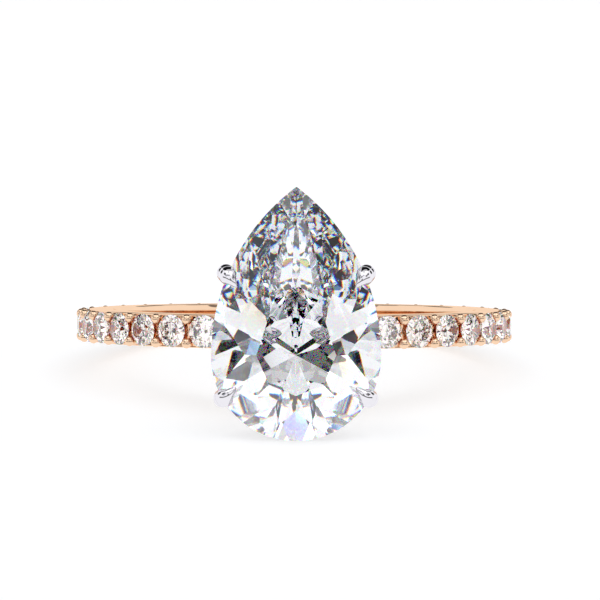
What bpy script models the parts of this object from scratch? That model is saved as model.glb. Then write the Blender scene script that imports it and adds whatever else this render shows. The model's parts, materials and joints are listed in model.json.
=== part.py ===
"""Pear-cut engagement ring: pave band, four-claw basket head and a pear centre stone.

Ring coordinates: X to the right, Y away from the front of the head, Z along the finger
axis. The centre stone faces -Y. The whole ring hangs on one empty that lays it down at
rest, on the round end of the centre stone and the back of the band. +Z is then up.
"""

import math

import bmesh
import bpy
from mathutils import Matrix, Vector

MM = 0.001

# Band, as radii from the finger axis.
FINGER_RADIUS = 8.45 * MM
FINGER_EDGE_ROLL = 0.05 * MM
FINGER_ROLL_START = 0.55 * MM
FINGER_EDGE_EASE = 0.05 * MM
RAIL_RADIUS = 9.60 * MM
RAIL_EDGE_EASE = 0.04 * MM
RAIL_HALF_WIDTH = 0.735 * MM
BAND_SEGMENTS_PER_STONE = 2

# Pave row: round stones in shared bead posts, all the way round.
STONE_POSITIONS = 38
HEAD_GAP_POSITIONS = 2
MELEE_RADIUS = 0.71 * MM
MELEE_GIRDLE_RADIUS = 9.95 * MM
MELEE_GIRDLE_THICKNESS = 0.03 * MM
MELEE_CROWN = 0.21 * MM
MELEE_PAVILION = 0.56 * MM
MELEE_TABLE_SHARE = 0.56
MELEE_MAINS = 8
SEAT_CLEARANCE = 0.02 * MM
SEAT_SIDES = 12
POST_RADIUS = 0.235 * MM
POST_OFFSET = 0.52 * MM
POST_FOOT = 9.45 * MM
POST_SHOULDER = 10.00 * MM
POST_TOP = 10.20 * MM
POST_TOP_SHARE = 0.55
POST_SIDES = 8

# Pear centre stone, with its girdle plane as height zero.
PEAR_HALF_WIDTH = 3.55 * MM
PEAR_WING_ARC_SHARE = 2.477
PEAR_GIRDLE_THICKNESS = 0.12 * MM
PEAR_CROWN = 1.00 * MM
PEAR_PAVILION = 3.10 * MM
PEAR_GIRDLE_REACH = 13.80 * MM
PEAR_WIDEST_DROP = 0.82 * MM
PEAR_HEAD_SIDES = 22
PEAR_WING_SIDES = 9
PEAR_MAIN_DIRECTIONS = (90, 38, -2, -45, -90, -135, -178, -218, -270)
CROWN_MAIN = (0.60, 0.98)
CROWN_STAR = (0.44, 0.845)
CROWN_HALF = (0.67, 1.00)
STAR_LIFT = 1.38
PAVILION_HALF_STEEPNESS = 1.05

# Head: four claw wires, a gallery rail, a base rail and the bridge under them.
PIECE_GAP = 0.03 * MM
WIRE_SIDES = 10
CLAW_RADIUS = 0.40 * MM
WIRE_FOOT_RADIUS = 0.24 * MM
CLAW_UPPER_ON_GIRDLE = (2.85 * MM, 3.36 * MM)
CLAW_UPPER_TIP = (2.53 * MM, 2.95 * MM)
CLAW_LOWER_ON_GIRDLE = (2.97 * MM, -1.73 * MM)
CLAW_LOWER_TIP = (2.57 * MM, -1.35 * MM)
# The bend of a claw: inward of its place on the girdle, height over the girdle plane, share of its radius.
CLAW_BEND = (
    (-0.02 * MM, -0.55 * MM, 0.96),
    (0.00 * MM, -0.10 * MM, 1.00),
    (0.02 * MM, 0.12 * MM, 0.97),
    (0.09 * MM, 0.27 * MM, 0.84),
    (0.22 * MM, 0.37 * MM, 0.64),
    (0.38 * MM, 0.42 * MM, 0.42),
)
CLAW_TIP_HEIGHT = 0.42 * MM
CLAW_TIP_SHARE = 0.16
BASE_RAIL_HALF_X = 1.05 * MM
BASE_RAIL_HALF_Y = 1.30 * MM
BASE_RAIL_CENTRE_Y = 0.42 * MM
BASE_RAIL_WIRE = 0.22 * MM
BASE_RAIL_HEIGHT = -3.16 * MM
FOOT_ANGLE = math.radians(50)
GALLERY_HEIGHT = -1.30 * MM
GALLERY_WIRE = 0.18 * MM
GALLERY_CLEARANCE = 0.05 * MM
GALLERY_STANDOFF = 1.2
GALLERY_TIP_TURNS = (0.62, 0.81, 1.0, 1.19, 1.38)
FACET_CORNER_SWELL = 1.08
RAIL_STEPS = 32
BRIDGE_STEPS = 8
BRIDGE_HALF_X = 1.28 * MM
BRIDGE_HALF_Z = 0.66 * MM
BRIDGE_CORNER = 0.12 * MM

PITCH = 2 * math.pi / STONE_POSITIONS
WING_ARC = PEAR_WING_ARC_SHARE * PEAR_HALF_WIDTH
WING_CENTRE = WING_ARC - PEAR_HALF_WIDTH
PEAR_TIP = math.sqrt(WING_ARC**2 - WING_CENTRE**2)
TIP_NORMAL = math.asin(PEAR_TIP / WING_ARC)
HALF_GIRDLE = PEAR_GIRDLE_THICKNESS / 2
WELD_GRID = 0.002 * MM


def clear_scene():
    for obj in list(bpy.data.objects):
        bpy.data.objects.remove(obj, do_unlink=True)


def make_material(name, colour, metallic, roughness, ior=1.45, transmission=0.0):
    material = bpy.data.materials.new(name)
    material.use_nodes = True
    shader = material.node_tree.nodes["Principled BSDF"]
    shader.inputs["Base Color"].default_value = (*colour, 1.0)
    shader.inputs["Metallic"].default_value = metallic
    shader.inputs["Roughness"].default_value = roughness
    shader.inputs["IOR"].default_value = ior
    shader.inputs["Transmission Weight"].default_value = transmission
    material.diffuse_color = (*colour, 1.0)
    return material


def rose_gold():
    return make_material("rose_gold", (0.86, 0.53, 0.38), 1.0, 0.12)


def white_gold():
    return make_material("white_gold", (0.80, 0.79, 0.77), 1.0, 0.12)


def diamond():
    return make_material("diamond", (0.96, 0.97, 1.0), 0.0, 0.0, ior=2.417, transmission=1.0)


def melee_diamond():
    return make_material("melee_diamond", (0.95, 0.95, 0.96), 0.0, 0.0, ior=2.417, transmission=1.0)


def make_object(name, points, faces, parent, material=None):
    """One object from a list of points and a list of faces, with its normals facing out."""
    mesh = bpy.data.meshes.new(name)
    mesh.from_pydata([tuple(p) for p in points], [], faces)
    shell = bmesh.new()
    shell.from_mesh(mesh)
    bmesh.ops.recalc_face_normals(shell, faces=shell.faces)
    shell.to_mesh(mesh)
    shell.free()
    obj = bpy.data.objects.new(name, mesh)
    bpy.context.scene.collection.objects.link(obj)
    obj.parent = parent
    if material is not None:
        mesh.materials.append(material)
    return obj


def make_empty(name, parent=None):
    empty = bpy.data.objects.new(name, None)
    empty.empty_display_size = 2 * MM
    bpy.context.scene.collection.objects.link(empty)
    empty.parent = parent
    return empty


def hide_helper(obj):
    obj.hide_render = True
    obj.display_type = "WIRE"


def add_boolean(obj, other, operation):
    modifier = obj.modifiers.new(f"{operation.lower()}_{other.name}", "BOOLEAN")
    modifier.operation = operation
    modifier.solver = "EXACT"
    modifier.object = other


def smooth(obj, angle_degrees):
    """Round surfaces are shaded smooth, and edges sharper than the angle stay crisp."""
    obj.data.set_sharp_from_angle(angle=math.radians(angle_degrees))


def ring_of_faces(rings, closed_path):
    """Quads that join each ring of point numbers to the next, with end caps on an open path."""
    faces = []
    count = len(rings)
    pairs = count if closed_path else count - 1
    for i in range(pairs):
        here = rings[i]
        there = rings[(i + 1) % count]
        for j in range(len(here)):
            k = (j + 1) % len(here)
            faces.append((here[j], here[k], there[k], there[j]))
    if not closed_path:
        faces.append(tuple(reversed(rings[0])))
        faces.append(tuple(rings[-1]))
    return faces


def tube(stations, sides, closed_path=False):
    """A round bar through stations of (centre, radius)."""
    centres = [Vector(centre) for centre, _ in stations]
    points = []
    rings = []
    count = len(stations)
    side = None
    for i, (_, radius) in enumerate(stations):
        before = centres[(i - 1) % count] if closed_path or i > 0 else centres[i]
        after = centres[(i + 1) % count] if closed_path or i < count - 1 else centres[i]
        along = (after - before).normalized()
        if side is None:
            guide = Vector((0, 0, 1)) if abs(along.z) < 0.9 else Vector((1, 0, 0))
            side = along.cross(guide).normalized()
        side = (side - along * side.dot(along)).normalized()
        other = along.cross(side)
        ring = []
        for j in range(sides):
            turn = 2 * math.pi * j / sides
            ring.append(len(points))
            points.append(centres[i] + radius * (math.cos(turn) * side + math.sin(turn) * other))
        rings.append(ring)
    return points, ring_of_faces(rings, closed_path)


def radial_place(angle, radius):
    """Turns local +Z into the outward direction at this angle round the band, local Y into the finger axis."""
    outward = Vector((math.sin(angle), -math.cos(angle), 0))
    axis = Vector((0, 0, 1))
    tangent = axis.cross(outward)
    turn = Matrix((tangent, axis, outward)).transposed().to_4x4()
    return Matrix.Translation(outward * radius) @ turn


def merged(solids):
    """Several solids, each (points, faces), as one list of points and one of faces."""
    points = []
    faces = []
    for solid_points, solid_faces in solids:
        start = len(points)
        points.extend(solid_points)
        faces.extend([tuple(start + i for i in face) for face in solid_faces])
    return points, faces


# ---- Band ----------------------------------------------------------------------------


def band_section():
    """Half the section of the plain band as (radius, width), from the finger side outwards."""
    return [
        (FINGER_RADIUS, FINGER_ROLL_START),
        (FINGER_RADIUS + FINGER_EDGE_ROLL, RAIL_HALF_WIDTH - FINGER_EDGE_EASE),
        (FINGER_RADIUS + FINGER_EDGE_ROLL + FINGER_EDGE_EASE, RAIL_HALF_WIDTH),
        (RAIL_RADIUS - RAIL_EDGE_EASE, RAIL_HALF_WIDTH),
        (RAIL_RADIUS, RAIL_HALF_WIDTH - RAIL_EDGE_EASE),
    ]


def plain_band():
    half = band_section()
    section = half + [(radius, -width) for radius, width in reversed(half)]
    segments = STONE_POSITIONS * BAND_SEGMENTS_PER_STONE
    points = []
    rings = []
    for i in range(segments):
        angle = 2 * math.pi * i / segments
        ring = []
        for radius, width in section:
            ring.append(len(points))
            points.append((radius * math.sin(angle), -radius * math.cos(angle), width))
        rings.append(ring)
    return points, ring_of_faces(rings, closed_path=True)


def bead_post(angle, width):
    """A post with a domed bead on top, in the gap between two stones."""
    place = radial_place(angle, 0)
    levels = [
        (POST_FOOT, POST_RADIUS),
        (POST_SHOULDER, POST_RADIUS),
        (POST_TOP, POST_TOP_SHARE * POST_RADIUS),
    ]
    points = []
    rings = []
    for height, radius in levels:
        ring = []
        for j in range(POST_SIDES):
            turn = 2 * math.pi * (j + 0.5) / POST_SIDES
            ring.append(len(points))
            offset = Vector((radius * math.cos(turn), width + radius * math.sin(turn), height))
            points.append(place @ offset)
        rings.append(ring)
    return points, ring_of_faces(rings, closed_path=False)


def stone_angles():
    """Angles round the band of the melee, leaving out those that the head stands on."""
    first = HEAD_GAP_POSITIONS // 2
    last = STONE_POSITIONS - HEAD_GAP_POSITIONS // 2
    return [(i + 0.5) * PITCH for i in range(first, last)]


def post_angles():
    """Angles of the bead pairs: one in each gap, except under the middle of the head."""
    return [i * PITCH for i in range(1, STONE_POSITIONS)]


def seat_cutter(angle):
    """A cone that leaves an even clearance round the pavilion of one stone."""
    slope = math.atan2(MELEE_PAVILION, MELEE_RADIUS)
    girdle_bottom = MELEE_GIRDLE_RADIUS - MELEE_GIRDLE_THICKNESS / 2
    apex = girdle_bottom - MELEE_PAVILION - SEAT_CLEARANCE / math.cos(slope)
    rim_radius = (MELEE_GIRDLE_RADIUS - apex) / math.tan(slope)
    place = radial_place(angle, 0)
    points = [place @ Vector((0, 0, apex))]
    for j in range(SEAT_SIDES):
        turn = 2 * math.pi * (j + 0.5) / SEAT_SIDES
        rim = Vector((rim_radius * math.cos(turn), rim_radius * math.sin(turn), MELEE_GIRDLE_RADIUS))
        points.append(place @ rim)
    faces = [tuple(range(1, SEAT_SIDES + 1))]
    for j in range(SEAT_SIDES):
        faces.append((0, 1 + j, 1 + (j + 1) % SEAT_SIDES))
    return points, faces


def build_shank(ring, material):
    band = make_object("shank", *plain_band(), ring, material)
    posts = []
    for angle in post_angles():
        posts.append(bead_post(angle, POST_OFFSET))
        posts.append(bead_post(angle, -POST_OFFSET))
    post_helper = make_object("post_helper", *merged(posts), ring, material)
    hide_helper(post_helper)
    seats = [seat_cutter(angle) for angle in stone_angles()]
    seat_helper = make_object("seat_helper", *merged(seats), ring, material)
    hide_helper(seat_helper)
    add_boolean(band, post_helper, "UNION")
    add_boolean(band, seat_helper, "DIFFERENCE")
    smooth(band, 32)
    smooth(post_helper, 32)
    smooth(seat_helper, 32)
    return band


# ---- Melee ---------------------------------------------------------------------------


def melee_solid():
    """A round stone with an eight-sided table, about its girdle centre, table towards +Z."""
    top = MELEE_GIRDLE_THICKNESS / 2
    sides = 2 * MELEE_MAINS
    table_radius = MELEE_TABLE_SHARE * MELEE_RADIUS / math.cos(math.pi / MELEE_MAINS)
    points = []
    for j in range(MELEE_MAINS):
        turn = math.tau * j / MELEE_MAINS
        points.append((table_radius * math.cos(turn), table_radius * math.sin(turn), top + MELEE_CROWN))
    for height in (top, -top):
        for j in range(sides):
            turn = math.tau * (j - 0.5) / sides
            points.append((MELEE_RADIUS * math.cos(turn), MELEE_RADIUS * math.sin(turn), height))
    points.append((0, 0, -top - MELEE_PAVILION))
    culet = len(points) - 1
    upper = MELEE_MAINS
    lower = upper + sides
    faces = [tuple(range(MELEE_MAINS))]
    for j in range(MELEE_MAINS):
        left = upper + 2 * j
        right = upper + (2 * j + 2) % sides
        faces.append((j, left, left + 1))
        faces.append((j, left + 1, right, (j + 1) % MELEE_MAINS))
    for j in range(sides):
        k = (j + 1) % sides
        faces.append((upper + j, lower + j, lower + k, upper + k))
        faces.append((lower + j, culet, lower + k))
    return points, faces


def build_melee(ring, material):
    points, faces = melee_solid()
    for number, angle in enumerate(stone_angles(), start=1):
        stone = make_object(f"melee_{number:02d}", points, faces, ring, material)
        stone.matrix_local = radial_place(angle, MELEE_GIRDLE_RADIUS)


# ---- Pear centre stone ---------------------------------------------------------------


def pear_point(normal_angle, share=1.0, offset=0.0):
    """The outline point whose outward normal has this angle, scaled and then pushed outwards."""
    x = math.cos(normal_angle)
    y = math.sin(normal_angle)
    if y <= 0:
        base = (PEAR_HALF_WIDTH * x, PEAR_HALF_WIDTH * y)
    elif y < math.sin(TIP_NORMAL):
        base = (math.copysign(WING_ARC * abs(x) - WING_CENTRE, x), WING_ARC * y)
    else:
        base = (0.0, PEAR_TIP)
    return Vector((share * base[0] + offset * x, share * base[1] + offset * y, 0))


def support(angle):
    """How far the outline reaches in a direction."""
    point = pear_point(angle)
    return point.x * math.cos(angle) + point.y * math.sin(angle)


def outline_angles():
    """Normal angles at which the girdle outline has its corners."""
    angles = [-math.pi + math.pi * i / PEAR_HEAD_SIDES for i in range(PEAR_HEAD_SIDES + 1)]
    wing = [TIP_NORMAL * i / PEAR_WING_SIDES for i in range(1, PEAR_WING_SIDES)]
    angles += wing
    angles.append(math.pi / 2)
    angles += [math.pi - a for a in reversed(wing)]
    return angles


def clip(faces, normal, reach):
    """The part of a convex solid on the inner side of a plane, as lists of corner points."""
    kept = []
    rim = []
    for face in faces:
        side = [corner.dot(normal) - reach for corner in face]
        new = []
        for i, corner in enumerate(face):
            j = (i + 1) % len(face)
            if side[i] <= 0:
                new.append(corner)
            if (side[i] < 0 < side[j]) or (side[j] < 0 < side[i]):
                cut = corner.lerp(face[j], side[i] / (side[i] - side[j]))
                new.append(cut)
                rim.append(cut)
        if len(new) > 2:
            kept.append(new)
    if rim:
        middle = sum(rim, Vector()) / len(rim)
        across = (rim[0] - middle).normalized()
        up = normal.cross(across)
        rim.sort(key=lambda p: math.atan2((p - middle).dot(up), (p - middle).dot(across)))
        kept.append(rim)
    return kept


def crown_planes(grow):
    """Facets above the girdle, each a normal and its distance from the middle of the stone."""
    planes = [(Vector((0, 0, 1)), HALF_GIRDLE + PEAR_CROWN + grow)]
    for angle in facet_angles(0.0):
        planes.append(crown_facet(angle, CROWN_MAIN, 0.0, grow))
    for angle in facet_angles(0.5):
        planes.append(crown_facet(angle, CROWN_STAR, STAR_LIFT, grow))
    for share in (0.25, 0.75):
        for angle in facet_angles(share):
            planes.append(crown_facet(angle, CROWN_HALF, 0.0, grow))
    return planes


def facet_angles(share):
    """Directions of the eight main facets, or of those a share of the way to the next."""
    mains = [math.radians(a) for a in PEAR_MAIN_DIRECTIONS]
    return [a + share * (b - a) for a, b in zip(mains[:-1], mains[1:])]


def crown_facet(angle, shape, lift, grow):
    """A crown facet: its rise over run at the widest part, where it meets the girdle plane, and its lift."""
    slope, reach_share = shape
    out = support(angle)
    tilt = slope * PEAR_HALF_WIDTH / out
    reach = out * reach_share
    rise = lift * (out - reach) * tilt
    normal = Vector((tilt * math.cos(angle), tilt * math.sin(angle), 1)).normalized()
    rim = Vector((reach * math.cos(angle), reach * math.sin(angle), HALF_GIRDLE + rise))
    return normal, rim.dot(normal) + grow


def pavilion_planes(grow):
    """Eight mains that meet at the culet, and sixteen steeper facets along the girdle."""
    planes = []
    for angle in facet_angles(0.0):
        planes.append(pavilion_facet(angle, 1.0, grow))
    for share in (0.25, 0.75):
        for angle in facet_angles(share):
            planes.append(pavilion_facet(angle, PAVILION_HALF_STEEPNESS, grow))
    return planes


def pavilion_facet(angle, steepness, grow):
    out = support(angle)
    tilt = steepness * PEAR_PAVILION / out
    normal = Vector((tilt * math.cos(angle), tilt * math.sin(angle), -1)).normalized()
    rim = Vector((out * math.cos(angle), out * math.sin(angle), -HALF_GIRDLE))
    return normal, rim.dot(normal) + grow


def pear_solid(grow=0.0):
    """The faceted stone. A positive grow moves every facet outwards, for a seat round the stone."""
    top = HALF_GIRDLE + 2 * PEAR_CROWN
    bottom = -HALF_GIRDLE - 1.5 * PEAR_PAVILION
    outline = [pear_point(angle, offset=grow) for angle in outline_angles()]
    lower = [p + Vector((0, 0, bottom)) for p in outline]
    upper = [p + Vector((0, 0, top)) for p in outline]
    faces = [list(upper), list(reversed(lower))]
    for i in range(len(outline)):
        j = (i + 1) % len(outline)
        faces.append([lower[i], lower[j], upper[j], upper[i]])
    for normal, reach in crown_planes(grow) + pavilion_planes(grow):
        faces = clip(faces, normal, reach)
    return joined_corners(faces)


def joined_corners(faces):
    """Corner points that coincide made one, and the faces as point numbers."""
    points = []
    numbers = {}
    numbered = []
    for face in faces:
        loop = []
        for corner in face:
            key = tuple(round(value / WELD_GRID) for value in corner)
            if key not in numbers:
                numbers[key] = len(points)
                points.append(corner)
            if not loop or loop[-1] != numbers[key]:
                loop.append(numbers[key])
        if loop[0] == loop[-1]:
            loop.pop()
        if len(loop) > 2:
            numbered.append(tuple(loop))
    return points, numbered


def build_pear(head, material):
    return make_object("pear_diamond", *pear_solid(), head, material)


# ---- Head ----------------------------------------------------------------------------


def base_rail_point(turn):
    return Vector(
        (
            BASE_RAIL_HALF_X * math.cos(turn),
            BASE_RAIL_CENTRE_Y + BASE_RAIL_HALF_Y * math.sin(turn),
            BASE_RAIL_HEIGHT,
        )
    )


def build_base_rail(head, material):
    stations = []
    for i in range(RAIL_STEPS):
        stations.append((base_rail_point(2 * math.pi * i / RAIL_STEPS), BASE_RAIL_WIRE))
    rail = make_object("base_rail", *tube(stations, WIRE_SIDES, closed_path=True), head, material)
    smooth(rail, 50)
    return rail


def gallery_stations(wire):
    """A pear-shaped wire just outside the pavilion, with a rounded corner under the tip."""
    share = FACET_CORNER_SWELL * (PEAR_PAVILION + HALF_GIRDLE + GALLERY_HEIGHT) / PEAR_PAVILION
    out = GALLERY_CLEARANCE + GALLERY_STANDOFF * GALLERY_WIRE
    stations = []
    for angle in outline_angles():
        if math.isclose(angle, math.pi / 2):
            for step in GALLERY_TIP_TURNS:
                point = pear_point(angle * step, share, out)
                stations.append((point + Vector((0, 0, GALLERY_HEIGHT)), wire))
        else:
            point = pear_point(angle, share, out)
            stations.append((point + Vector((0, 0, GALLERY_HEIGHT)), wire))
    return stations


def build_gallery_rail(head, material):
    solid = tube(gallery_stations(GALLERY_WIRE), WIRE_SIDES - 2, closed_path=True)
    rail = make_object("gallery_rail", *solid, head, material)
    smooth(rail, 50)
    return rail


def claw_stations(on_girdle, tip, mirror, foot_turn):
    """A wire that stands on the base rail, passes the girdle and folds over the crown to a point."""
    girdle = Vector((mirror * on_girdle[0], on_girdle[1], 0))
    end = Vector((mirror * tip[0], tip[1], CLAW_TIP_HEIGHT))
    inward = Vector((end.x - girdle.x, end.y - girdle.y, 0)).normalized()
    foot = base_rail_point(foot_turn)
    foot.z = BASE_RAIL_HEIGHT + BASE_RAIL_WIRE + PIECE_GAP
    bend = []
    for along, height, share in CLAW_BEND:
        bend.append((girdle + inward * along + Vector((0, 0, height)), share * CLAW_RADIUS))
    middle = (foot.lerp(bend[0][0], 0.5), (WIRE_FOOT_RADIUS + CLAW_RADIUS) / 2)
    return [(foot, WIRE_FOOT_RADIUS), middle, *bend, (end, CLAW_TIP_SHARE * CLAW_RADIUS)]


def build_prongs(head, material):
    stone_helper = make_object("stone_helper", *pear_solid(PIECE_GAP), head, material)
    hide_helper(stone_helper)
    wire = GALLERY_WIRE + PIECE_GAP
    rail_solid = tube(gallery_stations(wire), WIRE_SIDES - 2, closed_path=True)
    rail_helper = make_object("rail_helper", *rail_solid, head, material)
    hide_helper(rail_helper)
    smooth(rail_helper, 50)
    prongs = (
        ("prong_upper_left", CLAW_UPPER_ON_GIRDLE, CLAW_UPPER_TIP, -1, math.pi - FOOT_ANGLE),
        ("prong_upper_right", CLAW_UPPER_ON_GIRDLE, CLAW_UPPER_TIP, 1, FOOT_ANGLE),
        ("prong_lower_left", CLAW_LOWER_ON_GIRDLE, CLAW_LOWER_TIP, -1, math.pi + FOOT_ANGLE),
        ("prong_lower_right", CLAW_LOWER_ON_GIRDLE, CLAW_LOWER_TIP, 1, -FOOT_ANGLE),
    )
    for name, on_girdle, tip, mirror, foot_turn in prongs:
        stations = claw_stations(on_girdle, tip, mirror, foot_turn)
        prong = make_object(name, *tube(stations, WIRE_SIDES), head, material)
        smooth(prong, 50)
        add_boolean(prong, stone_helper, "DIFFERENCE")
        add_boolean(prong, rail_helper, "DIFFERENCE")


def build_bridge(ring, material):
    """A saddle between the outside of the band and the base rail."""
    top = PEAR_GIRDLE_REACH + BASE_RAIL_HEIGHT - BASE_RAIL_WIRE - PIECE_GAP
    steps = BRIDGE_STEPS
    cut = BRIDGE_CORNER
    half_z = BRIDGE_HALF_Z
    points = []
    rings = []
    for i in range(steps + 1):
        x = BRIDGE_HALF_X * (2 * i / steps - 1)
        low = math.sqrt((RAIL_RADIUS + PIECE_GAP) ** 2 - x**2)
        ease = cut if i in (0, steps) else 0.0
        section = [
            (low, -half_z),
            (top - ease - cut, -half_z),
            (top - ease, -half_z + cut),
            (top - ease, half_z - cut),
            (top - ease - cut, half_z),
            (low, half_z),
        ]
        corners = []
        for height, width in section:
            corners.append(len(points))
            points.append((x, -height, width))
        rings.append(corners)
    bridge = make_object("head_bridge", points, ring_of_faces(rings, closed_path=False), ring, material)
    smooth(bridge, 30)
    return bridge


# ---- Rest pose -----------------------------------------------------------------------


def world_extent():
    """Lowest and highest corner of everything that is shown, with its modifiers."""
    graph = bpy.context.evaluated_depsgraph_get()
    low = Vector((math.inf, math.inf, math.inf))
    high = -low
    for obj in bpy.context.scene.objects:
        if obj.type != "MESH" or obj.hide_render:
            continue
        shown = obj.evaluated_get(graph)
        mesh = shown.to_mesh()
        for vertex in mesh.vertices:
            place = shown.matrix_world @ vertex.co
            low = Vector(min(pair) for pair in zip(low, place))
            high = Vector(max(pair) for pair in zip(high, place))
        shown.to_mesh_clear()
    return low, high


def lay_down(ring):
    """Tilts the ring until the round end of the stone and the back of the band share the floor."""
    front = Vector((-PEAR_GIRDLE_REACH, -PEAR_WIDEST_DROP - PEAR_HALF_WIDTH))
    back = Vector((POST_SHOULDER, -POST_OFFSET - POST_RADIUS * math.cos(math.pi / POST_SIDES)))
    ring.rotation_euler = (-math.atan2(back.y - front.y, back.x - front.x), 0, 0)
    bpy.context.view_layer.update()
    low, high = world_extent()
    ring.location = (0, -(low.y + high.y) / 2, -low.z)


def main():
    clear_scene()
    gold = rose_gold()
    pale = white_gold()
    ring = make_empty("ring_frame")
    head = make_empty("head_frame", ring)
    head.location = (0, -PEAR_GIRDLE_REACH, -PEAR_WIDEST_DROP)
    head.rotation_euler = (math.pi / 2, 0, 0)
    build_shank(ring, gold)
    build_melee(ring, melee_diamond())
    build_bridge(ring, pale)
    build_base_rail(head, pale)
    build_gallery_rail(head, pale)
    build_pear(head, diamond())
    build_prongs(head, pale)
    lay_down(ring)


main()
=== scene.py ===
"""Looks of the pear-cut engagement ring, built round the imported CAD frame.

Ring coordinates are those of the CAD: X to the right, Y away from the front of the head,
Z along the finger axis. Head coordinates: X to the right, Y towards the point of the
centre stone, Z out of its table, with the girdle plane as height zero.
"""

import json
import math

import bmesh
import bpy
from mathutils import Matrix, Vector


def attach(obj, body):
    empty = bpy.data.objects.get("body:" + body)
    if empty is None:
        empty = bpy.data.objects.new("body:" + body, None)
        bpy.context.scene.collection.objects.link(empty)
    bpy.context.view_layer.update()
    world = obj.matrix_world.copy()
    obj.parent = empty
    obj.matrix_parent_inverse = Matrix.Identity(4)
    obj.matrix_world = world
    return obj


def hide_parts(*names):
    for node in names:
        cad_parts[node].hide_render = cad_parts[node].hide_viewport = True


MM = 0.001

# Band, as radii from the finger axis.
FINGER_RADIUS = 8.45 * MM
FINGER_EDGE_EASE = 0.05 * MM
RAIL_RADIUS = 9.60 * MM
RAIL_EDGE_EASE = 0.04 * MM
RAIL_HALF_WIDTH = 0.735 * MM
WALL_RADIUS = 9.80 * MM
WALL_HALF_WIDTH = 0.50 * MM
WALL_FADE = 0.14 * MM
SADDLE_NEAR = 0.24 * MM
SADDLE_FAR = 0.46 * MM
INNER_ROLL = 0.05 * MM
INNER_ROLL_POWER = 7
COLUMNS_PER_STONE = 36
TOP_ROWS = 30

# Pave row.
STONE_POSITIONS = 38
MELEE_RADIUS = 0.71 * MM
MELEE_GIRDLE_RADIUS = 9.95 * MM
MELEE_GIRDLE_THICKNESS = 0.02 * MM
MELEE_CROWN = 0.21 * MM
MELEE_PAVILION = 0.56 * MM
MELEE_TABLE_SHARE = 0.56
MELEE_STAR = 0.64
MELEE_UPPER_HALF = 1.22
MELEE_LOWER_HALF = 1.045
MELEE_TURN = 0.61
SEAT_CLEARANCE = 0.02 * MM
POST_RADIUS = 0.228 * MM
POST_OFFSET = 0.52 * MM
POST_FOOT = 9.45 * MM
POST_SHOULDER = 9.985 * MM
POST_TOP = 10.20 * MM
POST_NECK_TURN = math.radians(48)
POST_SIDES = 20
POST_LEVELS = 12

# Pear centre stone.
PEAR_HALF_WIDTH = 3.55 * MM
PEAR_WING_ARC_SHARE = 2.477
PEAR_GIRDLE_THICKNESS = 0.06 * MM
PEAR_CROWN = 1.00 * MM
PEAR_PAVILION = 3.10 * MM
PEAR_TABLE_SHARE = 0.56
PEAR_GIRDLE_REACH = 13.80 * MM
PEAR_WIDEST_DROP = 0.82 * MM
PEAR_MAIN_DIRECTIONS = (90, 38, -2, -45, -90, -135, -178, -218, -270)

# Head.
CLAW_RADIUS = 0.40 * MM
WIRE_FOOT_RADIUS = 0.24 * MM
CLAW_UPPER = (2.85 * MM, 3.36 * MM)
CLAW_UPPER_TIP = (2.53 * MM, 2.95 * MM)
CLAW_LOWER = (2.97 * MM, -1.73 * MM)
CLAW_LOWER_TIP = (2.57 * MM, -1.35 * MM)
CLAW_SHOULDER = -0.55 * MM
CLAW_SHOULDER_OUT = -0.02 * MM
CLAW_TIP_HEIGHT = 0.42 * MM

# How a claw bends over the stone, as (inwards, up, share of the claw's radius).
CLAW_BEND = (
    (0.0, -0.10 * MM, 1.0),
    (0.02 * MM, 0.12 * MM, 0.97),
    (0.09 * MM, 0.27 * MM, 0.84),
    (0.22 * MM, 0.37 * MM, 0.64),
    (0.38 * MM, CLAW_TIP_HEIGHT, 0.42),
)
BASE_RAIL_HALF_X = 1.05 * MM
BASE_RAIL_HALF_Y = 1.30 * MM
BASE_RAIL_CENTRE_Y = 0.42 * MM
BASE_RAIL_WIRE = 0.22 * MM
BASE_RAIL_HEIGHT = -3.16 * MM
FOOT_ANGLE = math.radians(50)
GALLERY_HEIGHT = -1.30 * MM
GALLERY_WIRE = 0.18 * MM
GALLERY_CLEARANCE = 0.05 * MM
FACET_CORNER_SWELL = 1.08
PIECE_GAP = 0.03 * MM
BRIDGE_HALF_X = 1.28 * MM
BRIDGE_HALF_Z = 0.66 * MM
BRIDGE_CORNER = 0.12 * MM
BRIDGE_STEPS = 48

# Finish.
# Reach of the ambient occlusion that paints shade into the metal's hollows.
PAINTED_SHADE_REACH = 0.22 * MM
POLISH_DEPTH = 0.0015 * MM
TONE_DRIFT = 0.975
DIAMOND_INDEX = 2.417

# Camera, from the middle of the band, with angles in radians.
CAMERA_DISTANCE = 122.0 * MM
CAMERA_ELEVATION = math.radians(1.545)
CAMERA_AZIMUTH = 0.008
CAMERA_ROLL = 0.00435
AIM_RIGHT = 0.266 * MM
AIM_UP = 1.147 * MM
CAMERA_LENS = 155.6

PITCH = 2 * math.pi / STONE_POSITIONS
WING_ARC = PEAR_WING_ARC_SHARE * PEAR_HALF_WIDTH
WING_CENTRE = WING_ARC - PEAR_HALF_WIDTH
PEAR_TIP = math.sqrt(WING_ARC**2 - WING_CENTRE**2)
TIP_NORMAL = math.asin(PEAR_TIP / WING_ARC)
HALF_GIRDLE = PEAR_GIRDLE_THICKNESS / 2

# Crown facets as (steepness, reach towards the girdle).
CROWN_MAIN = (0.60, 0.98)
CROWN_STAR = (0.44, 0.845)
CROWN_HALF = (0.67, 1.0)
STAR_LIFT = 1.38

# Right-hand pavilion facets as (direction in degrees, steepness over the plane through the culet).
PAVILION_FACETS = (
    (64, 1.0),
    (28, 1.0),
    (-8, 1.0),
    (-46, 1.0),
    (-90, 1.0),
    (50, 1.045),
    (40, 1.06),
    (18, 1.05),
    (4, 1.05),
    (-19, 1.05),
    (-34, 1.05),
    (-57, 1.05),
    (-70, 1.06),
    (-81, 1.05),
)

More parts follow.
